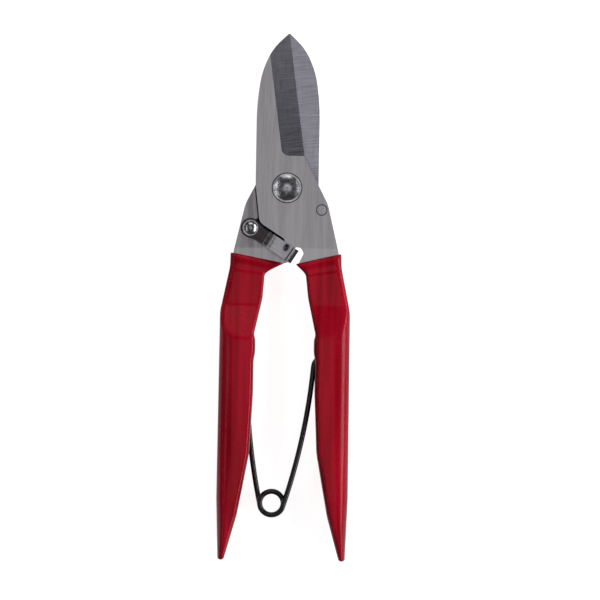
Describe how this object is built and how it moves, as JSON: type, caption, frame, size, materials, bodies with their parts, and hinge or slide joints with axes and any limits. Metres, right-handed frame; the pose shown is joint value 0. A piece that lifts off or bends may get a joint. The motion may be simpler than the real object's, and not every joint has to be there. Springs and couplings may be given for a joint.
{
  "type": "pruning shears",
  "caption": "Hand shears with two flat crossing blades, channel handles with a dipped coat, a swing latch, a stop pin and a coiled wire spring between the handles.",
  "frame": {"origin": "on the pivot axis, at the back of the tool, where the pivot bolt's end and the backs of the handles rest on a table", "axes": "+X to the right-hand handle seen from the front, +Y along the blades to their tips, +Z along the pivot axis to the domed head at the front"},
  "size_m": [0.0526, 0.2107, 0.014],
  "materials": {
    "blade_steel": "ground and brushed",
    "dipped_vinyl": "glossy dipped coat",
    "polished_chrome": "polished",
    "plated_steel": "zinc plated",
    "black_wire": "glossy black"
  },
  "bodies": {
    "rear_half": {"rear_blade": "blade_steel", "left_grip": "dipped_vinyl", "pivot_bolt": "polished_chrome", "pivot_washer": "plated_steel", "pivot_nut": "plated_steel", "latch_rivet": "polished_chrome", "latch_washer": "plated_steel"},
    "front_half": {"front_blade": "blade_steel", "right_grip": "dipped_vinyl", "stop_pin": "blade_steel"},
    "latch": {"latch_lever": "polished_chrome"},
    "spring_left": {"spring_left_arm": "black_wire"},
    "spring_right": {"spring_right_arm": "black_wire"}
  },
  "joints": [
    {"name": "pivot", "type": "hinge", "parent": "rear_half", "child": "front_half", "pos_m": [0, 0, 0.007], "axis": [0, 0, 1], "range_deg": [0, 38]},
    {"name": "latch_swing", "type": "hinge", "parent": "rear_half", "child": "latch", "pos_m": [-0.0144, -0.0161, 0.0078], "axis": [0, 0, 1], "range_deg": [-35, 0]},
    {"name": "spring_left_turn", "type": "hinge", "parent": "rear_half", "child": "spring_left", "pos_m": [-0.01761, -0.06399, 0.0025], "axis": [0, 0, 1], "range_deg": [0, 40.5]},
    {"name": "spring_right_turn", "type": "hinge", "parent": "spring_left", "child": "spring_right", "pos_m": [-0.0042, -0.1261, 0.007], "axis": [0, 0, 1], "range_deg": [-40.8, 0]}
  ],
  "couplings": [
    {"joint": "spring_left_turn", "follows": "pivot", "ratio": 1.055},
    {"joint": "spring_right_turn", "follows": "pivot", "ratio": -1.06}
  ]
}
